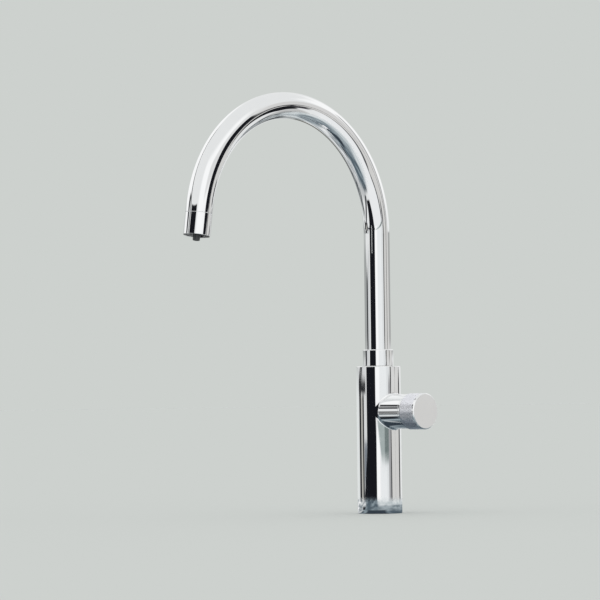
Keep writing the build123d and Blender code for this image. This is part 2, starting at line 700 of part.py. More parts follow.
# Outlet nozzle: grey plastic, screwed into the insert, its tip tapered.
nozzle_root_r = 3.9
nozzle_tip_r = 3.4
nozzle_bore_r = 2.5
nozzle_end = mouth_length + nozzle_drop
nozzle_shoulder = insert_end + loose_gap
with BuildPart() as outlet_nozzle:
    turned(across_outlet, nozzle_start, nozzle_shoulder, nozzle_body_r)
    with BuildSketch(across_outlet.offset(nozzle_shoulder)):
        Circle(nozzle_root_r)
    with BuildSketch(across_outlet.offset(nozzle_end)):
        Circle(nozzle_tip_r)
    loft()
    drilled(across_outlet, nozzle_start, nozzle_end, nozzle_bore_r)
outlet_nozzle.part.label = "outlet_nozzle"
export_step(outlet_nozzle.part, "parts/outlet_nozzle.step")

# Flow straightener: a plug with seven fine ways, set back inside the nozzle's tip.
straightener_length = 5.0
straightener_setback = 1.0
fine_way_r = 0.5
fine_way_ring_r = 1.5
straightener_end = nozzle_end - straightener_setback
with BuildPart() as flow_straightener:
    with BuildSketch(across_outlet.offset(straightener_end - straightener_length)):
        Circle(nozzle_bore_r - fit_gap)
        Circle(fine_way_r, mode=Mode.SUBTRACT)
        with PolarLocations(fine_way_ring_r, 6):
            Circle(fine_way_r, mode=Mode.SUBTRACT)
    extrude(amount=straightener_length)
flow_straightener.part.label = "flow_straightener"
export_step(flow_straightener.part, "parts/flow_straightener.step")

# Worktop clamp: rubber and steel washers and a nut, pushed up under the worktop.
washer_r = 27.0
nut_corner_r = 26.5
nut_gap = 0.1
rubber_bottom = -worktop - rubber_thick
washer_bottom = rubber_bottom - washer_thick
nut_bottom = washer_bottom - nut_thick
with BuildPart() as rubber_washer:
    turned(level, rubber_bottom, -worktop, washer_r)
    drilled(level, rubber_bottom, -worktop, shank_r + loose_gap)
rubber_washer.part.label = "rubber_washer"
export_step(rubber_washer.part, "parts/rubber_washer.step")

with BuildPart() as steel_washer:
    turned(level, washer_bottom, rubber_bottom, washer_r)
    drilled(level, washer_bottom, rubber_bottom, shank_r + loose_gap)
steel_washer.part.label = "steel_washer"
export_step(steel_washer.part, "parts/steel_washer.step")

with BuildPart() as fixing_nut:
    hexagon(level, nut_bottom, washer_bottom, nut_corner_r)
    drilled(level, nut_bottom, washer_bottom, shank_r + nut_gap)
fixing_nut.part.label = "fixing_nut"
export_step(fixing_nut.part, "parts/fixing_nut.step")

print(f"body radius {body_r:.2f}, knob axis at z {knob_z:.2f}, knob face at x {cap_end_x:.2f}")
print(f"total height over the worktop {bend_z + bend_r + tube_r:.1f}, reach {-lip_point.Y:.1f}")
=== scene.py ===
# %% [markdown]
# # A filtered water kitchen tap
#
# This lesson dresses a finished CAD model. The tap has a straight round body, a slim neck at
# its side with a knurled knob, and a tall arched spout that swivels. Nearly all that shows is
# mirror chrome, so smooth shapes and a calm studio to reflect matter more than colours.

# %% Load the frame
import json
import math

import bmesh
import bpy
from mathutils import Matrix, Vector


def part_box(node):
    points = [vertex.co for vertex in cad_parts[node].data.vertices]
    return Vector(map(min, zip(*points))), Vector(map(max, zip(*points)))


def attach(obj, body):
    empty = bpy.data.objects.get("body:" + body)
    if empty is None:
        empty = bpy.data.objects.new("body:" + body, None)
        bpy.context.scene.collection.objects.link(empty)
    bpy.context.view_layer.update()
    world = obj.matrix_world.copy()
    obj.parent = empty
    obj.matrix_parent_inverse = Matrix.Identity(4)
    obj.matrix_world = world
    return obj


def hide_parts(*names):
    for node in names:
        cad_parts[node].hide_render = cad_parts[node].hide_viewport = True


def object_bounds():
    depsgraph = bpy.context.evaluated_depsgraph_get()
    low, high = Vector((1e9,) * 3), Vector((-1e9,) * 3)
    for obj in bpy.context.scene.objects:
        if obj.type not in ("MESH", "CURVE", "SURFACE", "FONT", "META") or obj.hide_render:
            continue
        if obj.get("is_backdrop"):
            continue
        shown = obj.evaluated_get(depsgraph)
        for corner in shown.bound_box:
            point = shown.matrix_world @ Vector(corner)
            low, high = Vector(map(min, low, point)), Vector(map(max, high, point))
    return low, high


MM = 0.001
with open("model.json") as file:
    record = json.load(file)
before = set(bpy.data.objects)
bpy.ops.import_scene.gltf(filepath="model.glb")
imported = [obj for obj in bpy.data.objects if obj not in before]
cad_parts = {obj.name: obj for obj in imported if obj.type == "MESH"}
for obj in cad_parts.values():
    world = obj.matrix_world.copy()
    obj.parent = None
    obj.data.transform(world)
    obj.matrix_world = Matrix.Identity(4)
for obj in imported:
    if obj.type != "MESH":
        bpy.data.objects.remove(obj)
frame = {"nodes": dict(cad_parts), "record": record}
nodes = frame["nodes"]
cad_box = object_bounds()
scene = bpy.context.scene
scene.view_settings.view_transform = "Standard"
print(len(nodes), "CAD nodes, box", [[round(v / MM, 1) for v in corner] for corner in cad_box])

# %% [markdown]
# ## The camera
#
# The photo was taken from about 3.2 m away with a long lens, level with the tap's body. Such a
# view could be set by eye, but here the tap's own edges gave it, so the camera is placed by
# numbers: its turn round the tap, a slight look upwards, and a small tilt of the whole frame.

# %% Place the camera
camera_place = Vector((2217.7, -2345.0, 120.5)) * MM
turn, pitch, roll = math.radians(44.8), math.radians(91.72), -0.012
aim = (Matrix.Rotation(turn, 3, "Z") @ Matrix.Rotation(pitch, 3, "X")
       @ Matrix.Rotation(roll, 3, "Z"))
bpy.ops.object.select_all(action="DESELECT")
bpy.ops.object.camera_add(location=camera_place, rotation=aim.to_euler())
camera = bpy.context.object
camera.name = "photo_camera"
camera.data.sensor_width = 36.0
camera.data.lens = 190.4
scene.camera = camera
print("camera", round(camera_place.length, 2), "m from the foot, lens", camera.data.lens, "mm")

# %% [markdown]
# ## Two helpers for every node tree
#
# Colours are picked as sRGB hex values, as on a screen, but Blender mixes light in linear
# values, so one function turns them. A second one adds a node with its settings and links. Any
# input can be a number, a colour, another node's socket, or just that node.

# %% Colour and node helpers
def colour(hex_text):
    """An sRGB hex value as a linear colour with alpha."""
    parts = [int(hex_text[i:i + 2], 16) / 255 for i in (1, 3, 5)]
    return [p / 12.92 if p <= 0.04045 else ((p + 0.055) / 1.055) ** 2.4 for p in parts] + [1.0]


FACTOR, UNDER, OVER = 0, 6, 7  # the sockets of a Mix node that mixes colours


def add_node(tree, kind, inputs=None, **settings):
    """Adds a node. A node given as an input stands for its first output in use."""
    made = tree.nodes.new("ShaderNode" + kind)
    for name, value in settings.items():
        setattr(made, name, value)
    for key, value in (inputs or {}).items():
        if isinstance(value, bpy.types.Node):
            value = next(socket for socket in value.outputs if socket.enabled)
        if isinstance(value, bpy.types.NodeSocket):
            tree.links.new(value, made.inputs[key])
        else:
            made.inputs[key].default_value = value
    return made


print("mid grey #808080 is", round(colour("#808080")[0], 3), "in linear light")

# %% [markdown]
# ## The studio
#
# Polished chrome has no look of its own: it shows the room. A product photographer hangs white
# screens all round and adds narrow black flags, which give the metal its hard dark stripes.
# Cards could be modelled, but a world made of soft-edged patches of direction does the same and
# casts no stray shadows. A direction is told by its place round the tap and its height above
# the horizon, both in degrees. The place is counted from the photo's camera, to the right.

# %% Directions in the studio
towards_camera = 45.2  # degrees from the world's X axis to the studio's
world = bpy.data.worlds.new("soft_studio")
world.use_nodes = True
scene.world = world
sky = world.node_tree
sky.nodes.clear()
direction = add_node(sky, "TexCoord").outputs["Generated"]
turned_direction = add_node(sky, "VectorRotate", {
    "Vector": direction, "Axis": (0, 0, 1), "Angle": math.radians(towards_camera)},
    rotation_type="AXIS_ANGLE")
ahead, aside, upward = add_node(sky, "SeparateXYZ", {"Vector": turned_direction}).outputs
angle_round = add_node(sky, "Math", {0: aside, 1: ahead}, operation="ARCTAN2")
azimuth = add_node(sky, "Math", {0: angle_round}, operation="DEGREES")
angle_up = add_node(sky, "Math", {0: upward}, operation="ARCSINE")
elevation = add_node(sky, "Math", {0: angle_up}, operation="DEGREES")
print("directions come from", len(sky.nodes), "nodes")

# %% [markdown]
# ## Soft-edged masks
#
# Each screen or flag needs a mask with four soft edges. A drawn image could hold them all, but
# a few sums on the direction stay sharp at any size: one smooth step for each edge, and all of
# them multiplied. An edge may lean, as a real screen's does when it hangs at a slant.

# %% Masks and patches
def inside(tree, *edges):
    """1 inside all the edges. Each one is a value, and where its step starts and ends."""
    mask = None
    for value, start, end in edges:
        step = add_node(tree, "MapRange", {"Value": value, "From Min": start, "From Max": end},
                        interpolation_type="SMOOTHSTEP")
        mask = step if mask is None else add_node(tree, "Math", {0: mask, 1: step},
                                                  operation="MULTIPLY")
    return mask


def rising(value, place, width):
    """An edge with its dark side below the place and its light side above it."""
    return value, place - width / 2, place + width / 2


def falling(value, place, width):
    """An edge with its light side below the place and its dark side above it."""
    return value, place + width / 2, place - width / 2


def patch(below, shade, left, right, height, soft):
    """Lays one patch of the room over the shades below it. Each side has a place and a slant,
    by how many degrees it leans over for each degree of height."""
    edges = []
    for (place, slant), edge in ((left, rising), (right, falling)):
        leant = azimuth if not slant else add_node(
            sky, "Math", {0: elevation, 1: slant, 2: azimuth}, operation="MULTIPLY_ADD")
        edges.append(edge(leant, place, soft[0]))
    edges += [rising(elevation, height[0], soft[1]), falling(elevation, height[1], soft[1])]
    return add_node(sky, "Mix", {FACTOR: inside(sky, *edges), UNDER: below, OVER: shade},
                    data_type="RGBA")


print("a patch is a mask of four soft edges")

# %% [markdown]
# ## A round reflector
#
# The bright round glow on the arch comes from a large round reflector to the left, in front of a
# pale wall. It could be one more patch with corners, but an oval needs only the distance from
# its middle, measured in its own radii.

# %% Round reflector
reflector_middle, reflector_radii = (-133, 24), (38, 24)
squares = []
for value, middle, radius in zip((azimuth, elevation), reflector_middle, reflector_radii):
    off = add_node(sky, "Math", {0: value, 1: middle}, operation="SUBTRACT")
    share = add_node(sky, "Math", {0: off, 1: radius}, operation="DIVIDE")
    squares.append(add_node(sky, "Math", {0: share, 1: 2}, operation="POWER"))
total = add_node(sky, "Math", dict(enumerate(squares)), operation="ADD")
reach = add_node(sky, "Math", {0: total}, operation="SQRT")
shown = [rising(elevation, -10, 3), falling(elevation, 60, 3)]
wall = colour("#E9EAEA")
room = wall
for shade, inner_reach in ((colour("#FFFFFF"), -1), (wall, 0.98)):
    mask = inside(sky, rising(reach, inner_reach, 0.12), falling(reach, 1.08, 0.12), *shown)
    room = add_node(sky, "Mix", {FACTOR: mask, UNDER: room, OVER: shade}, data_type="RGBA")
print("reflector", 2 * reflector_radii[0], "degrees wide and", 2 * reflector_radii[1], "high")

# %% [markdown]
# ## The room, patch by patch
#
# The patches are laid one over another, from the widest to the smallest, as a painter works.
# Above the horizon come the soft boxes and flags, below it the table's near parts. Two patches
# stand for a busy corner of the room, so their shade is a slow noise in place of one colour.

# %% Mottled shade for the busy corner
cloud = add_node(sky, "TexNoise", {"Vector": direction, "Scale": 7.0, "Detail": 2.0})
cloud = add_node(sky, "MapRange", {"Value": cloud, "From Min": 0.42, "From Max": 0.58})
mottled = add_node(sky, "Mix", {FACTOR: cloud, UNDER: colour("#3F4348"),
                                OVER: colour("#BCC0C0")}, data_type="RGBA")
print("mottled shade between two greys")

# %% Lay the patches
patches = [
    # shade, left side and slant, right side and slant, height, softness across and upright
    ("#FFFFFF", (-8, 0), (74, 0), (6, 48), (16, 16)),                # soft boxes
    ("#FFFFFF", (106, 0), (158, 0), (6, 38), (14, 10)),
    ("#E0E0E0", (34, 0), (84, 0), (14, 31), (12, 6)),
    ("#EFF0F1", (-26, 0), (86, 0), (-84, 4), (10, 8)),               # pale table in front
    ("#C2C4C5", (-170, 0), (-50, 0), (-58, -24), (14, 10)),          # room behind, left
    ("#F0F1F1", (-190, 0), (-104, 0), (-74, -48), (14, 10)),
    ("#9FA09F", (92, 0), (136, 0), (-72, -46), (8, 8)),              # room behind, right
    ("#C0C0BF", (94, 0), (134, 0), (-48, -22), (6, 6)),
    (mottled, (149, -1.2), (250, 0), (-56, -12), (8, 6)),            # busy corner
    ("#74756F", (-190, 0), (-150, 0), (-30, -6), (10, 8)),
    (mottled, (-152, 0), (-104, 0), (-28, -8), (6, 6)),
    ("#70757A", (-190, 0), (2, 0), (-100, -74), (20, 12)),           # ground under the tap
    ("#B9BCBA", (-190, 0), (-119, 0), (-9, 8), (3, 6)),              # left screen
    ("#E4E7E6", (-190, 0), (-117, 0), (-4, 0.4), (3, 1)),
    ("#DCDDDD", (-131, 0), (-66, 0), (-4, 0.75), (3, 0.4)),
    ("#2A2B2E", (-124, 0), (-107, 0), (-4, 0.45), (3, 0.2)),         # its frame
    ("#2A2B2E", (-127, 0), (-74, 0), (0.05, 0.3), (2, 0.12)),
    ("#B4B2AC", (-107, 0), (-96, 0), (-4, 0.02), (4, 0.2)),
    ("#2E2F31", (-96, 0), (-86, 0), (-5.5, 0.05), (3, 0.2)),
    ("#7C828A", (-84, 0), (-62, 0), (-1.6, -0.85), (3, 0.15)),
    ("#44484A", (-120, 0), (-104, 0), (3.2, 10), (3, 1)),
    ("#A2A5A4", (-190, 0), (-111, 0), (0.85, 2.6), (3, 0.5)),        # a darker band above it
    ("#2C2E31", (-112, 0), (-95, 0), (0.35, 2.2), (2, 0.5)),
    ("#CDCFD0", (-95, 0), (-76, 0), (0.6, 2.6), (3, 0.4)),
    ("#FFFFFF", (-30, 0), (3, 0), (-3, 4), (10, 1)),                 # fall-off over the table
    ("#EEF0F1", (8, 0), (62, 0), (-3, 4), (14, 1)),
    ("#E3E5E6", (40, 0), (64, 0), (-3, 4), (6, 1)),
    ("#A6B0AF", (-24.8, 30), (52, 0), (-1.2, -0.3), (6, 0.25)),      # a soft grey-green shape
    ("#717C7B", (28, 0), (51, 0), (-1.18, -0.35), (8, 0.3)),
    ("#3A3B3E", (-105, 0), (-88.5, 0), (13, 21), (3, 2)),            # dark lines on the neck
    ("#303336", (-112, 1.48), (-100, 1.48), (-31, -3), (4, 3)),
    ("#38393B", (-52.5, 1.74), (-43, 1.74), (15, 50), (3, 4)),       # edge of the light above
    ("#17181D", (-67, 0), (-18.5, 0), (-4, 18.5), (2, 1.5)),         # the large black flag
    ("#17181D", (-66, 0.3), (-18.5, -0.45), (-27, 0), (2, 2.5)),
    ("#17181D", (-45.3, -22), (-15.3, 0), (-2.3, -0.4), (2, 0.8)),
    ("#3A3D41", (-60, 0), (-25, 0), (-76, -35), (10, 8)),
    ("#D6D5D4", (84, 0), (112, 0), (3, 24), (6, 4)),                 # grey screen on the right
    ("#A4A4A4", (98, -0.9), (106, -0.9), (3.5, 26), (4, 3)),
    ("#D4D3D1", (55, 0), (97, -2.31), (-19, -2.5), (2, 2)),
    ("#D4D3D1", (56, 0), (134, 0), (-8, 0.6), (2, 2)),
    ("#5C5D5E", (47, 0), (54.5, 0), (-17.5, -2.4), (2, 1)),
    ("#56575A", (92, -2.31), (101, -2.31), (-18.5, -5), (3, 2)),
    ("#D4D3D1", (62, 0), (122, 0), (0.6, 3.4), (2, 1)),
    ("#A3A3A5", (50, 0), (62, 0), (-3, 0.45), (3, 0.4)),             # its near edge
    ("#2E2F31", (61.5, 0), (67.5, 0), (-3, 0.8), (1.5, 0.6)),
    ("#4A4948", (57.5, 0), (66, 0), (0.8, 3.4), (1.5, 0.6)),
    ("#28282B", (122, 0), (134.5, 0), (-3, 0.5), (1.5, 0.6)),        # its far edge
    ("#A8A9A8", (121, 0), (190, 0), (0.85, 3.2), (3, 0.4)),
    ("#17181D", (49, -1.1), (93.2, 0.62), (3.4, 19), (1.5, 1.5)),    # the small black flag
    ("#17181D", (90, 0), (95.5, 0.5), (0.7, 3.9), (0.6, 0.8)),
    ("#3A3A3E", (90.4, 0), (91.0, 0), (-3, 1.2), (0.4, 0.6)),
    ("#47464A", (88.4, 0), (102, 0), (-15, -2.6), (2, 0.6)),
    ("#1B1C20", (90.6, 0.15), (104, 0), (-20.5, -2.6), (1.5, 0.6)),
]
for shade, *place in patches:
    room = patch(room, colour(shade) if isinstance(shade, str) else shade, *place)
print(len(patches), "patches of reflected room,", len(sky.nodes), "nodes")

# %% [markdown]
# ## One world, three answers
#
# The camera should see a plain backdrop, a mirror the room, and a dull surface an even white
# light. Lamps could give that light, but they would leave glints that the photo doesn't have.
# Light Path tells which kind of ray asks, so one world answers each in its own way. At a
# strength of 1 a colour renders about as it is written.

# %% Light the scene
backdrop = colour("#CDD1CE")
ray = add_node(sky, "LightPath").outputs
mirrored = add_node(sky, "Math", {0: ray["Is Glossy Ray"], 1: ray["Is Transmission Ray"]},
                    operation="MAXIMUM")
plain = add_node(sky, "Mix", {FACTOR: ray["Is Camera Ray"], UNDER: (1, 1, 1, 1), OVER: backdrop},
                 data_type="RGBA")
seen = add_node(sky, "Mix", {FACTOR: mirrored, UNDER: plain, OVER: room}, data_type="RGBA")
light = add_node(sky, "Background", {"Color": seen, "Strength": 1.0})
add_node(sky, "OutputWorld", {"Surface": light})
print("world light of strength 1, backdrop", [round(v, 2) for v in backdrop[:3]])

# %% [markdown]
# ## The floor
#
# The tap stands on a pale worktop. A plane with a horizon would show an edge behind the tap, so
# a very large disc of the backdrop's own colour does for it.

# %% Lay the floor
bpy.ops.object.select_all(action="DESELECT")
bpy.ops.mesh.primitive_circle_add(vertices=96, radius=30.0, fill_type="NGON", location=(0, 0, 0))
floor = bpy.context.object
floor.name = "studio_floor"
floor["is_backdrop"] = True
print("floor of radius 30 m at the tap's foot")

# %% [markdown]
# ## The worktop as the metal sees it
#
# In the foot and the neck the chrome shows the worktop close by: veined stone, with the tap's
# shadow painted into it beside the tap, and a dark edge to the left. The shades go by how far
# from the tap a point is and by the way round to it. They could be patches of the world too, but
# near things slide along the metal as it curves, and only a real surface does that.

# %% Veined stone
floor_finish = bpy.data.materials.new("pale_floor")
floor_finish.use_nodes = True
tree = floor_finish.node_tree
tree.nodes.clear()
place = add_node(tree, "TexCoord").outputs["Object"]
spread = add_node(tree, "VectorMath", {0: place}, operation="LENGTH")
ahead, aside = add_node(tree, "SeparateXYZ", {"Vector": place}).outputs[:2]
angle_round = add_node(tree, "Math", {0: aside, 1: ahead}, operation="ARCTAN2")
way_round = add_node(tree, "Math", {0: angle_round}, operation="DEGREES")
vein = add_node(tree, "TexNoise", {"Vector": place, "Scale": 7.0, "Detail": 2.0})
vein = add_node(tree, "MapRange", {"Value": vein, "From Min": 0.4, "From Max": 0.6})
# The third and fourth are a shaded and a lit copy of one stone. Together they paint the tap's
# shadow into the worktop's colour.
far_stone, front_stone, stone_in_painted_shadow, lit_stone = [
    add_node(tree, "Mix", {FACTOR: vein, UNDER: colour(dark), OVER: colour(light)},
             data_type="RGBA")
    for dark, light in (("#8F979C", "#F7F8F8"), ("#56636C", "#8E9BA2"), ("#727D84", "#A3ADB2"),
                        ("#BEC6C9", "#DFE3E4"))]
print("four shades of veined stone")

# %% [markdown]
# The dark edge is a ring of shades that change with the distance from the tap, from 0 to
# 0.25 m, as a colour ramp has them. The veins shift it a little, so it isn't a perfect circle.

# %% Dark edge on the left
vein_shift = 0.035
wavy = add_node(tree, "Math", {0: vein, 1: vein_shift, 2: spread}, operation="MULTIPLY_ADD")
along_ring = add_node(tree, "MapRange", {
    "Value": wavy, "From Min": vein_shift / 2, "From Max": 0.25 + vein_shift / 2})
ring = add_node(tree, "ValToRGB", {"Fac": along_ring})
stops = ring.color_ramp.elements
stops[0].color = colour("#55636D")
stops[1].position, stops[1].color = 0.84, colour("#86898B")
for position, shade in ((0.36, "#46525B"), (0.45, "#A9B5BB"), (0.52, "#66717A"),
                        (0.60, "#1B1F24"), (0.77, "#23282D")):
    stops.new(position).color = colour(shade)
print("ring of", len(stops), "shades")

# %% Shades round the foot
stone = far_stone
# The third sector lays the painted shadow of the tap on the stone from 0.11 m out, and the fourth
# lays the lit stone beyond it from 0.26 m.
for shade, start, end, nearest, farthest in (
        (ring, -146, -136, 0.0, 0.225), (front_stone, -130, -118, 0.0, 0.60),
        (stone_in_painted_shadow, -62, -50, 0.11, 0.60), (lit_stone, -62, -50, 0.26, 0.60)):
    mask = inside(tree, (way_round, start, end), (way_round, 165, 125),
                  rising(spread, nearest, 0.06), falling(spread, farthest, 0.001))
    stone = add_node(tree, "Mix", {FACTOR: mask, UNDER: stone, OVER: shade}, data_type="RGBA")
# Painted shadow: the stone turns dark slate within about 0.12 m of the foot, in front of the tap.
painted_foot_shadow = inside(tree, (spread, 0.145, 0.105), (way_round, -115, -100), (way_round, -8, -28))
stone = add_node(tree, "Mix", {FACTOR: painted_foot_shadow, UNDER: stone, OVER: colour("#38414A")},
                 data_type="RGBA")
print("worktop shades go out to 0.6 m")

# %% [markdown]
# Only mirrors see the stone. The camera sees the backdrop's colour, which also takes the tap's
# shadow. Beyond 0.3 m the stone fades out of the mirrors, because the real worktop ends in
# front of the tap. From below the floor is clear, so the fixings can be looked at.

# %% Finish the floor
ray = add_node(tree, "LightPath").outputs
floor_colour = add_node(tree, "Mix", {FACTOR: ray["Is Glossy Ray"], UNDER: backdrop, OVER: stone},
                        data_type="RGBA")
pale = add_node(tree, "BsdfDiffuse", {"Color": floor_colour})
clear = add_node(tree, "BsdfTransparent")
far_mirror = add_node(tree, "Math", {0: ray["Is Glossy Ray"],
                                     1: inside(tree, (spread, 0.32, 0.56))}, operation="MULTIPLY")
from_below = add_node(tree, "NewGeometry").outputs["Backfacing"]
unseen = add_node(tree, "Math", {0: far_mirror, 1: from_below}, operation="MAXIMUM")
surface = add_node(tree, "MixShader", {0: unseen, 1: pale, 2: clear})
add_node(tree, "OutputMaterial", {"Surface": surface})
floor.data.materials.append(floor_finish)
print("floor finish has", len(tree.nodes), "nodes")

# %% [markdown]
# ## Finishes
#
# Each finish starts from what the real one is and how it was made. None is quite one colour, so
# all of them let colour and roughness drift together in soft patches. Patterns are set in real
# millimetres: a noise with features of 2 mm has a scale of 1 / 0.002.

# %% One recipe for a finish
def make_finish(name, dark, light, roughness, patch_mm, detail, metallic=0.0, relief=None):
    """A material whose colour and roughness drift between two values in soft patches.

    The relief is a pattern's kind, inputs and settings, with its depth in mm and strength."""
    finish = bpy.data.materials.new(name)
    finish.use_nodes = True
    tree = finish.node_tree
    tree.nodes.clear()
    place = add_node(tree, "TexCoord").outputs["Object"]
    drift = add_node(tree, "TexNoise", {
        "Vector": place, "Scale": 1 / (patch_mm * MM), "Detail": detail})
    tint = add_node(tree, "Mix", {FACTOR: drift, UNDER: colour(dark), OVER: colour(light)},
                    data_type="RGBA")
    rough = add_node(tree, "MapRange", {"Value": drift, "From Min": 0.3, "From Max": 0.7,
                                        "To Min": roughness[0], "To Max": roughness[1]})
    inputs = {"Base Color": tint, "Roughness": rough, "Metallic": metallic}
    if relief:
        kind, pattern_inputs, settings, depth_mm, strength = relief
        pattern = add_node(tree, kind, {"Vector": place, **pattern_inputs}, **settings)
        inputs["Normal"] = add_node(tree, "Bump", {
            "Height": pattern.outputs["Fac"], "Distance": depth_mm * MM, "Strength": strength})
    shader = add_node(tree, "BsdfPrincipled", inputs)
    add_node(tree, "OutputMaterial", {"Surface": shader})
    return finish


finishes = {}
print("a finish takes two colours, a range of roughness and a relief")

# %% [markdown]
# **Mirror-polished chrome plate.** Bright chromium over nickel on buffed brass. It gives the
# eye a cool, hard-edged mirror, with only a breath of haze where the buffing wheel left off. A
# clear coat over grey could look alike, but a metal's mirror takes its colour from the metal.

# %% Polished chrome
finishes["polished_chrome"] = make_finish(
    "polished_chrome_plate", "#F4F5F6", "#F9FAFA", (0.012, 0.035), 9.0, 3.0, metallic=1.0)
print("polished chrome: roughness 0.012 to 0.035")

# %% [markdown]
# **Satin chrome.** The knob's grip is plated over a rolled knurl, and left unbuffed. It gives
# the eye a soft grey sheen that runs from bright on top to dark below. The knurl itself is in
# the mesh, so the finish only adds the fine frosting on it.

# %% Satin chrome
finishes["satin_chrome"] = make_finish(
    "satin_chrome_plate", "#EEEFF6", "#FAFAFE", (0.22, 0.34), 0.5, 2.0, metallic=1.0)
print("satin chrome: roughness 0.22 to 0.34")

# %% [markdown]
# **Turned brass, bare and nickel-plated.** A lathe leaves fine rings round each piece, about
# 0.1 mm apart, drawn at 0.4 mm so that they show. Bare brass is warm yellow with darker, slightly
# oxidised patches; nickel plate over it is a warm grey.

# %% Turned brass and nickel plate
unit_wave = 0.314  # metres between the bands of a Wave texture at a scale of 1
ring_gap = 0.4
rings = ("TexWave", {"Scale": unit_wave / (ring_gap * MM), "Distortion": 0.6},
         {"bands_direction": "DIAGONAL"}, 0.004, 0.6)
finishes["brass"] = make_finish("turned_brass", "#B98A3C", "#D9B25C", (0.22, 0.36), 6.0, 4.0,
                                metallic=1.0, relief=rings)
finishes["plated_brass"] = make_finish("nickel_plated_brass", "#AFA99C", "#C9C4B8", (0.18, 0.30),
                                       6.0, 4.0, metallic=1.0, relief=rings)
print("brass and nickel-plated brass, rings", ring_gap, "mm apart")

# %% [markdown]
# **Zinc-plated steel.** Washer and screws. Zinc has a bluish bloom of small crystals, which the
# eye takes for a dull, cloudy grey. They are 1.6 mm wide here, with a finer grain on them.

# %% Zinc-plated steel
crystals = ("TexNoise", {"Scale": 1 / (0.4 * MM), "Detail": 2.0}, {}, 0.006, 0.5)
finishes["zinc_steel"] = make_finish("zinc_plated_steel", "#A9AFB4", "#C9CCCA", (0.28, 0.45),
                                     1.6, 4.0, metallic=1.0, relief=crystals)
print("zinc-plated steel: crystals of 1.6 mm")

# %% [markdown]
# **Rubbers, plastics, fibre and ceramic.** None is quite one colour: moulded plastic has a fine
# spark-eroded grain, rubber a dusty bloom, pressed fibre short strands, and lapped alumina an
# even, faintly speckled white. One recipe with different numbers makes them all.

# %% Moulded and pressed finishes
for key, (name, dark, light, roughness, grain_mm, depth_mm) in {
    "rubber": ("moulded_rubber", "#1D1D1F", "#2B2B2D", (0.62, 0.80), 0.35, 0.02),
    "fibre": ("pressed_fibre", "#5F2419", "#8A4030", (0.70, 0.85), 0.30, 0.03),
    "ceramic": ("lapped_alumina", "#E6E3DB", "#F1EFE9", (0.18, 0.26), 0.25, 0.002),
    "glide_plastic": ("moulded_acetal", "#DEDCD3", "#EAE9E2", (0.36, 0.46), 0.40, 0.004),
    "black_plastic": ("moulded_black_plastic", "#141517", "#202124", (0.30, 0.42), 0.25, 0.008),
    "grey_plastic": ("moulded_grey_plastic", "#3B3D40", "#4A4C4F", (0.30, 0.42), 0.25, 0.006),
    "line_plastic": ("extruded_tube_plastic", "#DFE3E4", "#EEF1F1", (0.20, 0.28), 0.60, 0.003),
}.items():
    grain = ("TexNoise", {"Scale": 1 / (grain_mm * MM), "Detail": 2.0}, {}, depth_mm, 0.7)
    finishes[key] = make_finish(name, dark, light, roughness, grain_mm * 6, 3.0, relief=grain)
print(len(finishes), "finishes")

# %% [markdown]
# ## Dressing the CAD model
#
# The pieces inside the tap are right as the CAD model has them, so they stay and only get a
# finish. It could be given to each by hand, but the record names a finish for every node, so a
# loop does it.

# %% Dress the CAD nodes
slots = {row["node"]: row["material_slot"] for row in frame["record"]["subparts"]}
for name, node in nodes.items():
    node.data.materials.clear()
    node.data.materials.append(finishes[slots[name]])
print("dressed", len(slots), "CAD nodes in their finishes")

# %% [markdown]
# ## Turning round pieces
#
# Most of the tap comes off a lathe. A lathe piece could be spun from a profile, but pulling a
# ring along works as well and needs no merging at the seam: a circle is extruded from one step
# to the next and scaled to the step's radius. Edges are then bevelled, ring by ring.

# %% Select by place
def select_where(piece, test):
    """Selects the vertices whose place passes the test, with the edges between them."""
    mesh = bmesh.from_edit_mesh(piece.data)
    for vertex in mesh.verts:
        vertex.select_set(False)
    mesh.select_flush(False)
    for vertex in mesh.verts:
        vertex.select_set(bool(test(vertex.co)))
    mesh.select_flush(True)
    bmesh.update_edit_mesh(piece.data)


def from_axis(co):
    """How far a point is from the Z axis, in mm."""
    return math.hypot(co.x, co.y) / MM


def on_ring(radius, height, slack=0.004):
    """A test for the vertices of one ring, its radius and height in mm."""
    return lambda co: (abs(from_axis(co) - radius) < slack
                       and abs(co.z / MM - height) < slack)


print("rings are found to within 0.004 mm")


# %% Turn a profile
def open_circle(name, radius, height, sides):
    """A new circle in edit mode, all of it selected."""
    bpy.ops.object.select_all(action="DESELECT")
    bpy.ops.mesh.primitive_circle_add(vertices=sides, radius=radius * MM, location=(0, 0, 0))
    piece = bpy.context.object
    piece.name = piece.data.name = name
    bpy.ops.object.mode_set(mode="EDIT")
    bpy.ops.mesh.select_mode(type="VERT")
    bpy.ops.mesh.select_all(action="SELECT")
    bpy.ops.transform.translate(value=(0, 0, height * MM))
    return piece


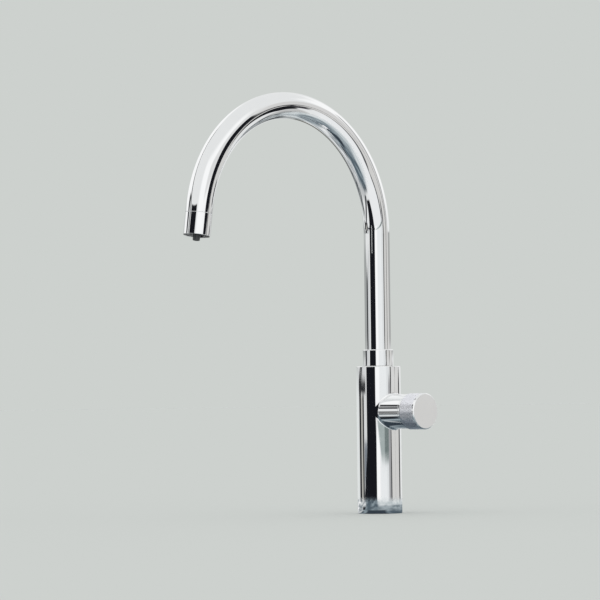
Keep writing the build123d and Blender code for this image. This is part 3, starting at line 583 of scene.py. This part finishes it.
def turned(name, profile, sides=128, ends="joined", rounding=3):
    """Turns a profile of (radius, height) steps in mm. A third number rounds that edge.

    The ends are joined for a ring or tube, or filled for a solid piece."""
    radius, height = profile[0][:2]
    piece = open_circle(name, radius, height, sides)
    for step in profile[1:]:
        rise = (step[1] - height) * MM
        bpy.ops.mesh.extrude_region_move(TRANSFORM_OT_translate={"value": (0, 0, rise)})
        scale = step[0] / radius
        bpy.ops.transform.resize(value=(scale, scale, 1), center_override=(0, 0, step[1] * MM))
        radius, height = step[:2]
    first, last = on_ring(*profile[0][:2]), on_ring(radius, height)
    if ends == "joined":
        select_where(piece, lambda co: first(co) or last(co))
        bpy.ops.mesh.bridge_edge_loops()
    else:
        for ring_test in (first, last):
            select_where(piece, ring_test)
            bpy.ops.mesh.edge_face_add()
    bpy.ops.mesh.select_all(action="SELECT")
    bpy.ops.mesh.normals_make_consistent(inside=False)
    for step in profile:
        if len(step) == 3:
            select_where(piece, on_ring(step[0], step[1]))
            bpy.ops.mesh.bevel(offset=step[2] * MM, segments=rounding, affect="EDGES")
    bpy.ops.object.mode_set(mode="OBJECT")
    return piece


print("a profile of radius and height steps makes a turned piece")

# %% [markdown]
# ## Placing, cutting and finishing
#
# Every turned piece is made about the Z axis and then stood in its place, with its object left
# at the origin. Holes could be modelled into the faces, but a cut by a second mesh is what a
# drill does. At the end each piece is smoothed, except across edges sharper than an angle, and
# it takes over from its CAD node.

# %% Place, cut and finish
def make_active(piece):
    """Selects this piece alone."""
    bpy.ops.object.select_all(action="DESELECT")
    piece.select_set(True)
    bpy.context.view_layer.objects.active = piece


def stand(piece, origin, turned_by=(0, 0, 0)):
    """Puts a piece in its place, in mm, and leaves its object at the origin."""
    piece.location = Vector(origin) * MM
    piece.rotation_euler = turned_by
    make_active(piece)
    bpy.ops.object.transform_apply(location=True, rotation=True, scale=True)
    return piece


def use_modifier(piece, kind, **settings):
    """Adds a modifier and applies it."""
    make_active(piece)
    modifier = piece.modifiers.new(kind.lower(), kind)
    for name, value in settings.items():
        setattr(modifier, name, value)
    bpy.ops.object.modifier_apply(modifier=modifier.name)


def cut(piece, tool, operation="DIFFERENCE"):
    """Cuts the piece with another mesh, which is then thrown away."""
    use_modifier(piece, "BOOLEAN", object=tool, operation=operation, solver="EXACT")
    bpy.data.objects.remove(tool)


def finish_piece(piece, body, node, angle=32.0):
    """Smooths the piece, and lets it stand for its CAD node on its body."""
    make_active(piece)
    bpy.ops.object.shade_smooth_by_angle(angle=math.radians(angle))
    use_modifier(piece, "WEIGHTED_NORMAL", keep_sharp=True)
    if not piece.data.materials:
        piece.data.materials.append(finishes[slots[node]])
    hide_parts(node)
    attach(piece, body)
    print(piece.name, "has", len(piece.data.polygons), "faces and stands for", node)


along_valve, towards_back = (0, math.radians(90), 0), (math.radians(-90), 0, 0)
knob_z = (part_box("knob_cap")[0].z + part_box("knob_cap")[1].z) / 2 / MM
print("the knob's axis is", round(knob_z, 1), "mm above the worktop")

# %% [markdown]
# ## The body
#
# A chrome tube with a closed top, turned from one bar. It has a large round opening at the side
# for the neck and a small hole at the back for the key of the retaining screw. Both are cut
# with boolean tools, after the turning, just as they would be on the real one.

# %% Body shell
body_radius, body_height, bore_radius, bore_height = 22.5, 149.0, 19.5, 144.0
top_hole_radius, key_height = 13.05, 138.3
body_shell = turned("body_tube", [
    (body_radius, 0, 0.3), (body_radius, body_height, 0.8), (top_hole_radius, body_height, 0.2),
    (top_hole_radius, bore_height), (bore_radius, bore_height), (bore_radius, 0, 0.3)],
    sides=192, rounding=4)
opening = turned("opening_tool", [(17.55, 5), (17.55, 40)], ends="filled")
cut(body_shell, stand(opening, (0, 0, knob_z), along_valve))
key_hole = turned("key_tool", [(1.95, 10), (1.95, 40)], sides=48, ends="filled")
cut(body_shell, stand(key_hole, (0, 0, key_height), towards_back))
finish_piece(body_shell, "body", "body_shell")

# %% [markdown]
# ## The neck
#
# A slimmer chrome sleeve, soldered into the body's side opening. It could stop flat inside the
# body, but its real inner end is cut to a saddle, so the body's own bore cuts it here too.

# %% Valve neck
neck_radius, neck_end = 17.5, 44.5
valve_neck = turned("knob_neck", [
    (neck_radius, 8), (neck_radius, 41.9, 0.05), (17.25, 42.0), (17.25, 42.2),
    (neck_radius, 42.3, 0.05), (neck_radius, neck_end, 0.3), (14.5, neck_end, 0.2), (14.5, 23),
    (12.15, 23), (12.15, 8)], sides=160)
stand(valve_neck, (0, 0, knob_z), along_valve)
bore_tool = turned("bore_tool", [(bore_radius, 60), (bore_radius, bore_height)], ends="filled")
cut(valve_neck, bore_tool)
print("neck cut to its saddle:", len(valve_neck.data.polygons), "faces")

# %% [markdown]
# Where the neck meets the body, the solder is polished to a small hollow fillet before plating.
# It is turned as a flat ring with a hollow side. Each of its points is then moved outwards by
# as much as the body's round surface stands out there, so the fillet runs smoothly into both.

# %% Solder fillet
fillet, sunk = 1.6, 0.3
hollow = [math.radians(90 * k / 8) for k in range(9)]
fillet_ring = turned("solder_fillet", [(neck_radius - 0.2, -sunk), (neck_radius - 0.2, fillet)] + [
    (neck_radius + fillet * (1 - math.cos(a)), fillet * (1 - math.sin(a))) for a in hollow]
    + [(neck_radius + fillet, -sunk)], sides=160)
stand(fillet_ring, (0, 0, knob_z), along_valve)
for vertex in fillet_ring.data.vertices:
    vertex.co.x += math.sqrt((body_radius * MM) ** 2 - vertex.co.y ** 2)
make_active(valve_neck)
fillet_ring.select_set(True)
bpy.ops.object.join()
finish_piece(valve_neck, "body", "valve_neck")

# %% [markdown]
# ## The knob
#
# Its grip is knurled: a lathe rolls two crossing sets of grooves into it, which leaves rows of
# tiny diamonds. The same shape comes from a fine grid in which every second vertex, as on a
# chess board, is pressed in. The real diamonds may be smaller; here they are 0.95 mm wide.

# %% Turn the knob's grip
knob_start, sleeve_length = 45.0, 17.3
grip_radius, knurl_depth, spokes, rows = 18.2, 0.10, 240, 35
lip_radius, lip, band = 17.3, 0.6, 0.12
knurl_step = (sleeve_length - lip - band) / rows
grip_rows = [(grip_radius, lip + k * knurl_step) for k in range(rows + 1)]
knob_sleeve = turned("knob_grip", [
    (15.5, 0, 0.2), (lip_radius, 0, 0.2), (lip_radius, lip)] + grip_rows
    + [(grip_radius, sleeve_length), (15.5, sleeve_length)], sides=spokes)
print("grip of", rows, "rows and", spokes, "spokes")


# %% Press the knurl
def valley(co):
    """Every second vertex of the grip's grid, as on a chess board."""
    row = (co.z / MM - lip) / knurl_step
    if from_axis(co) < grip_radius - 0.1 or not 0.5 < row < rows - 0.5:
        return False
    spoke = math.atan2(co.y, co.x) / math.tau * spokes
    return (round(row) + round(spoke)) % 2 == 1


def on_grip(co):
    """The grip's outside, from the lip to the plain band at its end."""
    return (from_axis(co) > (grip_radius + lip_radius) / 2
            and lip - 0.01 < co.z / MM < sleeve_length - band + 0.01)


bpy.ops.object.mode_set(mode="EDIT")
select_where(knob_sleeve, valley)
pressed = (grip_radius - knurl_depth) / grip_radius
bpy.ops.transform.resize(value=(pressed, pressed, 1), center_override=(0, 0, 0))
select_where(knob_sleeve, on_grip)
bpy.ops.mesh.quads_convert_to_tris(quad_method="SHORTEST_DIAGONAL")
bpy.ops.object.mode_set(mode="OBJECT")
print("valleys are", knurl_depth, "mm deep, diamonds",
      round(2 * math.tau * grip_radius / spokes, 2), "mm wide")

# %% [markdown]
# The grip is satin, but its narrow lip and its end shine, because the buffing wheel reaches
# them. Two pieces could do that. Two finishes on one piece keep its edges closed.

# %% Two finishes on the grip
for key in ("polished_chrome", "satin_chrome"):
    knob_sleeve.data.materials.append(finishes[key])
for face in knob_sleeve.data.polygons:
    face.material_index = int(lip < face.center.z / MM < sleeve_length - band
                              and from_axis(face.center) > lip_radius - 0.3)
stand(knob_sleeve, (knob_start, 0, knob_z), along_valve)
finish_piece(knob_sleeve, "knob", "knob_sleeve", angle=12.0)

# %% [markdown]
# The cap is a polished disc, pressed into the end of the grip. A short cylinder with a bevel
# would do from afar, but what catches the light is the slanting lead round its face, between two
# crisp edges, so the cap is turned step by step, with the spigot that holds it.

# %% Knob cap
cap_start = knob_start + sleeve_length
knob_cap = turned("knob_face", [
    (13.45, 0), (13.45, -3), (15.45, -3), (15.45, 0), (grip_radius, 0, 0.05),
    (grip_radius, 1.2, 0.12), (17.2, 2.2, 0.12)], sides=160, ends="filled")
stand(knob_cap, (cap_start, 0, knob_z), along_valve)
finish_piece(knob_cap, "knob", "knob_cap")

# %% [markdown]
# ## The spout
#
# A brass tube, bent on a mandrel to a round arch and then plated. It could follow a curve, but
# the spin tool bends a ring about a centre just as the bending machine does: straight up, round
# by 171.5 degrees, and a short straight end.

# %% Bend the spout tube
tube_radius, tube_foot, bend_height, bend_radius, sweep = 13.1, 150.6, 283.0, 124.6, 171.5
straight_end = 5
outlet_turn = math.radians(sweep)
outlet_way = Vector((0, -math.sin(outlet_turn), math.cos(outlet_turn)))
spout_tube = open_circle("spout_arch", tube_radius, tube_foot, 128)
rise = (bend_height - tube_foot) * MM
bpy.ops.mesh.extrude_region_move(TRANSFORM_OT_translate={"value": (0, 0, rise)})
bpy.ops.mesh.spin(steps=180, angle=outlet_turn, center=(0, -bend_radius * MM, bend_height * MM),
                  axis=(-1, 0, 0))
bpy.ops.mesh.extrude_region_move(
    TRANSFORM_OT_translate={"value": outlet_way * straight_end * MM})
bpy.ops.mesh.select_all(action="SELECT")
bpy.ops.mesh.remove_doubles(threshold=0.00001)
bpy.ops.mesh.normals_make_consistent(inside=False)
bpy.ops.object.mode_set(mode="OBJECT")
print("arch top", round(max(v.co.z for v in spout_tube.data.vertices) / MM, 1), "mm")

# %% [markdown]
# Solidify gives the tube its wall, inwards, once its faces all point out. The cut end keeps a
# sharp inner edge, but its outer one is broken, so a fine seam shows where the mouthpiece
# begins. Only that rim is bevelled: it is found by its distance from the end's middle.

# %% Wall and cut end
use_modifier(spout_tube, "SOLIDIFY", thickness=1.5 * MM, offset=-1.0)
bend_end = Vector((0, bend_radius * (math.cos(outlet_turn) - 1),
                   bend_height + bend_radius * math.sin(outlet_turn)))
seam = bend_end + outlet_way * straight_end


def on_seam_rim(co):
    """The outer edge of the tube's cut end."""
    off = co / MM - seam
    along = off.dot(outlet_way)
    return abs(along) < 0.01 and abs((off - outlet_way * along).length - tube_radius) < 0.01


bpy.ops.object.mode_set(mode="EDIT")
select_where(spout_tube, on_seam_rim)
bpy.ops.mesh.bevel(offset=0.3 * MM, segments=3, affect="EDGES")
bpy.ops.object.mode_set(mode="OBJECT")
finish_piece(spout_tube, "spout", "spout_tube")

# %% [markdown]
# A chrome ring covers the joint between tube and body, and turns with the spout. Its top edge
# is well rounded, which draws the bright line there. A torus could be added for it, but one
# profile with a rounding of 1 mm gives both.

# %% Spout collar
collar_foot = 149.4
spout_collar = turned("spout_collar_ring", [
    (15.5, 0, 0.15), (15.5, 16.6, 1.0), (13.15, 16.6), (13.15, 0)], sides=160, rounding=4)
stand(spout_collar, (0, 0, collar_foot))
finish_piece(spout_collar, "spout", "spout_collar")

# %% [markdown]
# ## The mouthpiece
#
# A short chrome housing is pushed into the tube's end, with a fine seam between them. It could
# be modelled at an angle, but it is easier to turn upright and then to stand on the seam, at
# the angle of the tube's end.

# %% Outlet housing
to_outlet = (outlet_turn, 0, 0)
outlet_housing = turned("mouth_housing", [
    (11.55, 0), (tube_radius, 0, 0.3), (tube_radius, 21.6, 0.3), (12.0, 21.6, 0.2), (12.0, 3),
    (9, 3), (9, -8), (11.55, -8)])
stand(outlet_housing, seam, to_outlet)
finish_piece(outlet_housing, "spout", "outlet_housing")

# %% [markdown]
# Inside its lip sits an insert of black plastic, with a shallow ring groove in its face, and
# the grey water nozzle stands out of that by a few millimetres. It tapers a little, so that it
# leaves its mould. Both go deep into the housing, so nobody can look past them.

# %% Outlet insert and nozzle
insert_face, nozzle_tip = 19.9, 26.3
outlet_insert = turned("mouth_insert", [
    (11.95, 6), (11.95, insert_face, 0.2), (8.6, insert_face, 0.1), (8.6, 19.1), (7.4, 19.1),
    (7.4, insert_face, 0.1), (4.6, insert_face, 0.1), (4.6, 11), (7.9, 11), (7.9, 6)], sides=96)
stand(outlet_insert, seam, to_outlet)
finish_piece(outlet_insert, "spout", "outlet_insert")
outlet_nozzle = turned("water_nozzle", [
    (4.55, 11), (4.55, 20.2), (3.9, 20.2), (3.4, nozzle_tip, 0.3), (2.5, nozzle_tip, 0.2),
    (2.5, 11)], sides=64)
stand(outlet_nozzle, seam, to_outlet)
finish_piece(outlet_nozzle, "spout", "outlet_nozzle")

# %% [markdown]
# ## The retaining screw
#
# A grub screw in the block's back holds the spout in. Its key socket shows through the small
# hole in the body, so the socket is cut for real: a turned tool with only six sides is a
# hexagon.

# %% Retaining screw
screw_end = 19.4
retaining_screw = turned("grub_screw", [
    (1.2, 8.95, 0.15), (1.2, 10.5), (2.0, 10.5, 0.15), (2.0, screw_end, 0.3)], sides=48,
    ends="filled")
key_socket = turned("key_socket_tool", [(1.1, screw_end - 4), (1.1, 20)], sides=6, ends="filled")
cut(retaining_screw, key_socket)
stand(retaining_screw, (0, 0, key_height), towards_back)
finish_piece(retaining_screw, "body", "retaining_screw")

# %% [markdown]
# ## The flow straightener
#
# In the nozzle's tip sits a plug with seven fine ways, which makes the water run clear and
# straight. The holes could be dark dots in a material, but from below one looks into them, so
# one tool is turned for each and cuts it: six in a ring and one in the middle.

# %% Flow straightener
flow_straightener = turned("straightener_plug", [(2.45, 20.3), (2.45, 25.3, 0.15)], sides=48,
                           ends="filled")
way_places = [(1.5 * math.cos(a), 1.5 * math.sin(a), 0) for a in
              (math.radians(60 * k) for k in range(6))] + [(0, 0, 0)]
for way_place in way_places:
    fine_way = turned("fine_way_tool", [(0.5, 19), (0.5, 27)], sides=20, ends="filled")
    cut(flow_straightener, stand(fine_way, way_place))
stand(flow_straightener, seam, to_outlet)
finish_piece(flow_straightener, "spout", "flow_straightener")

# %% [markdown]
# ## Glide ring and foot gasket
#
# The spout's collar turns on the thin rim of a plastic ring, and under the body's foot a rubber
# ring keeps water out of the worktop. Its sealing ribs could be bump, but they can be seen from
# below, edge on, so its profile has two grooves, which leave the ribs between them.

# %% Glide ring and gasket
upper_glide_ring = turned("glide_ring", [
    (10.5, bore_height, 0.1), (12.99, bore_height, 0.1), (12.99, body_height),
    (14.7, body_height, 0.12), (14.7, collar_foot, 0.12), (10.5, collar_foot, 0.1)])
finish_piece(upper_glide_ring, "body", "upper_glide_ring")
groove = 0.5
base_gasket = turned("foot_gasket", [
    (16.3, 0, 0.15), (16.9, 0, 0.1), (17.1, groove), (17.4, groove), (17.6, 0, 0.1),
    (18.1, 0, 0.1), (18.3, groove), (18.6, groove), (18.8, 0, 0.1), (19.4, 0, 0.15),
    (19.4, 3.0, 0.2), (16.3, 3.0, 0.2)])
finish_piece(base_gasket, "body", "base_gasket")

# %% [markdown]
# ## Threads
#
# Below the worktop the tap is held by a hollow threaded shank. A thread could be faked with
# bump, but seen from the side its teeth break the outline, so it is real: one tooth's profile is
# drawn point by point, and the Screw modifier winds it round the axis. Plane cuts close its
# ends.

# %% Threaded rods
# One tooth of a standard 60 degree thread, as steps outwards in depths and up in pitches.
tooth = ((0, 1 / 4), (1, 5 / 16), (0, 1 / 8), (-1, 5 / 16))


def threaded_rod(name, radius, pitch, low, high, steps=48):
    """A solid rod with a 60 degree thread, from low to high in mm."""
    depth = 0.6134 * pitch
    bpy.ops.object.select_all(action="DESELECT")
    bpy.ops.mesh.primitive_plane_add(size=MM, location=(0, 0, 0))
    piece = bpy.context.object
    piece.name = piece.data.name = name
    bpy.ops.object.mode_set(mode="EDIT")
    bpy.ops.mesh.select_mode(type="VERT")
    bpy.ops.mesh.select_all(action="SELECT")
    bpy.ops.mesh.merge(type="CENTER")
    bpy.ops.transform.translate(value=((radius - depth) * MM, 0, (low - 2 * pitch) * MM))
    for outward, upward in tooth:
        bpy.ops.mesh.extrude_region_move(TRANSFORM_OT_translate={
            "value": (outward * depth * MM, 0, upward * pitch * MM)})
    bpy.ops.object.mode_set(mode="OBJECT")
    use_modifier(piece, "SCREW", axis="Z", angle=math.tau, screw_offset=pitch * MM,
                 iterations=math.ceil((high - low) / pitch) + 4, steps=steps, render_steps=steps)
    bpy.ops.object.mode_set(mode="EDIT")
    bpy.ops.mesh.select_all(action="SELECT")
    bpy.ops.mesh.remove_doubles(threshold=0.01 * MM)
    for end, way in ((high, 1), (low, -1)):
        bpy.ops.mesh.select_all(action="SELECT")
        bpy.ops.mesh.bisect(plane_co=(0, 0, end * MM), plane_no=(0, 0, way), use_fill=True,
                            clear_outer=True)
    bpy.ops.mesh.select_all(action="SELECT")
    bpy.ops.mesh.normals_make_consistent(inside=False)
    bpy.ops.object.mode_set(mode="OBJECT")
    print(name, "has", len(piece.data.polygons), "faces")
    return piece


print("a tooth takes", sum(upward for _, upward in tooth), "of a pitch")

# %% [markdown]
# The shank is a brass tube, threaded over its whole length and nickel-plated. A turned blank,
# with a chamfer at its lower end as a die's lead-in leaves it, is intersected with the threaded
# rod. That trims the thread to length and bores it in one cut.

# %% Fixing shank
shank_radius, shank_low, shank_high, shank_bore = 16.0, -75.0, 15.0, 12.5
fixing_shank = threaded_rod("shank_thread", shank_radius, 1.5, shank_low - 1, shank_high + 1,
                            steps=64)
shank_blank = turned("shank_blank", [
    (shank_bore, shank_low, 0.3), (14.9, shank_low), (16.3, shank_low + 1.4),
    (16.3, shank_high - 0.8), (15.5, shank_high), (shank_bore, shank_high, 0.3)], sides=96)
cut(fixing_shank, shank_blank, "INTERSECT")
finish_piece(fixing_shank, "body", "fixing_shank")

# %% [markdown]
# ## Hexagons
#
# Nuts and spanner flats are cut from hexagonal bar, and a lathe then turns their corners off,
# which leaves a curved edge on each flat. A bevel would leave straight ones. Here a double cone
# does the turning: it just touches the flats at each end, and clears the corners in between.

# %% Hexagonal bar
def hexagon(name, corner, low, high):
    """A hexagonal bar whose corners are turned off at both ends, as on a nut."""
    bar = turned(name, [(corner, low), (corner, high)], sides=6, ends="filled")
    stand(bar, (0, 0, 0), (0, 0, math.radians(30)))
    flat = corner * math.cos(math.radians(30))
    at_end, in_between = flat * 0.985, corner * 1.02
    drop = (in_between - at_end) * math.tan(math.radians(30))
    cone = turned("corner_tool", [(at_end, low), (in_between, low + drop),
                                  (in_between, high - drop), (at_end, high)],
                  sides=96, ends="filled")
    cut(bar, cone, "INTERSECT")
    return bar


print("a hexagon is given by its corners, and its flats are",
      round(math.cos(math.radians(30)), 3), "as far out")

# %% [markdown]
# ## The inlet
#
# Water comes in by a slim tube inside the shank. Its lower end has a hexagon for a spanner and
# a standard pipe thread for the hose's nut, and its upper end screws into the valve block. The
# parts could stay apart, but on the real one they are one piece, so they are united.

# %% Inlet tube
inlet_tube = threaded_rod("union_thread", 8.33, 1.337, -99.5, -84.5)
union_blank = turned("union_blank", [(7.5, -99), (8.5, -98), (8.5, -84.7)], sides=64,
                     ends="filled")
cut(inlet_tube, union_blank, "INTERSECT")
cut(inlet_tube, hexagon("union_hexagon", 10.0, -85, -79), "UNION")
inlet_pipe = turned("inlet_pipe", [(5.5, -80), (5.5, 60.5), (5.95, 60.5), (5.95, 73, 0.4)],
                    sides=64, ends="filled")
cut(inlet_tube, inlet_pipe, "UNION")
cut(inlet_tube, hexagon("shoulder_hexagon", 8.6, 56.5, 60.5), "UNION")
inlet_bore = turned("inlet_bore", [(4.6, -100), (3.5, -98.5), (3.5, 75)], sides=48, ends="filled")
cut(inlet_tube, inlet_bore)
inlet_tube.name = inlet_tube.data.name = "inlet_union"
finish_piece(inlet_tube, "body", "inlet_tube")

# %% [markdown]
# ## The clamp
#
# A brass nut pushes a steel washer and a rubber one up against the worktop from below. The
# washers are stamped and moulded, so their edges are rounded, and the rubber one keeps the fine
# parting line of its mould, which a bump would lose in the outline.

# %% Clamp washers
rubber_washer = turned("clamp_rubber", [
    (16.3, -43, 0.3), (26.8, -43, 0.6), (26.8, -41.62), (27.0, -41.5), (26.8, -41.38),
    (26.8, -40, 0.6), (16.3, -40, 0.3)])
finish_piece(rubber_washer, "clamp", "rubber_washer")
steel_washer = turned("clamp_washer", [
    (16.3, -45, 0.3), (27.0, -45, 0.5), (27.0, -43, 0.15), (16.3, -43, 0.15)], rounding=4)
finish_piece(steel_washer, "clamp", "steel_washer")

# %% [markdown]
# The nut's own thread is hidden by the shank, so a plain bore with a lead-in at each end does.

# %% Fixing nut
nut_low, nut_high, nut_bore_radius = -57, -45, 16.1
fixing_nut = hexagon("clamp_nut", 26.5, nut_low, nut_high)
nut_bore = turned("nut_bore_tool", [
    (17.3, nut_low - 0.2), (nut_bore_radius, nut_low + 1), (nut_bore_radius, nut_high - 1),
    (17.3, nut_high + 0.2)], sides=96, ends="filled")
cut(fixing_nut, nut_bore)
finish_piece(fixing_nut, "clamp", "fixing_nut")

# %% [markdown]
# ## Sizes
#
# The CAD model's box and the dressed tap's box are printed, one above the other. The
# dressed tap has to stay inside the CAD model's box.

# %% Print the sizes
bpy.context.view_layer.update()
final_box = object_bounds()
for name, corners in (("CAD", cad_box), ("visual", final_box)):
    print(name, [[round(v / MM, 2) for v in corner] for corner in corners])
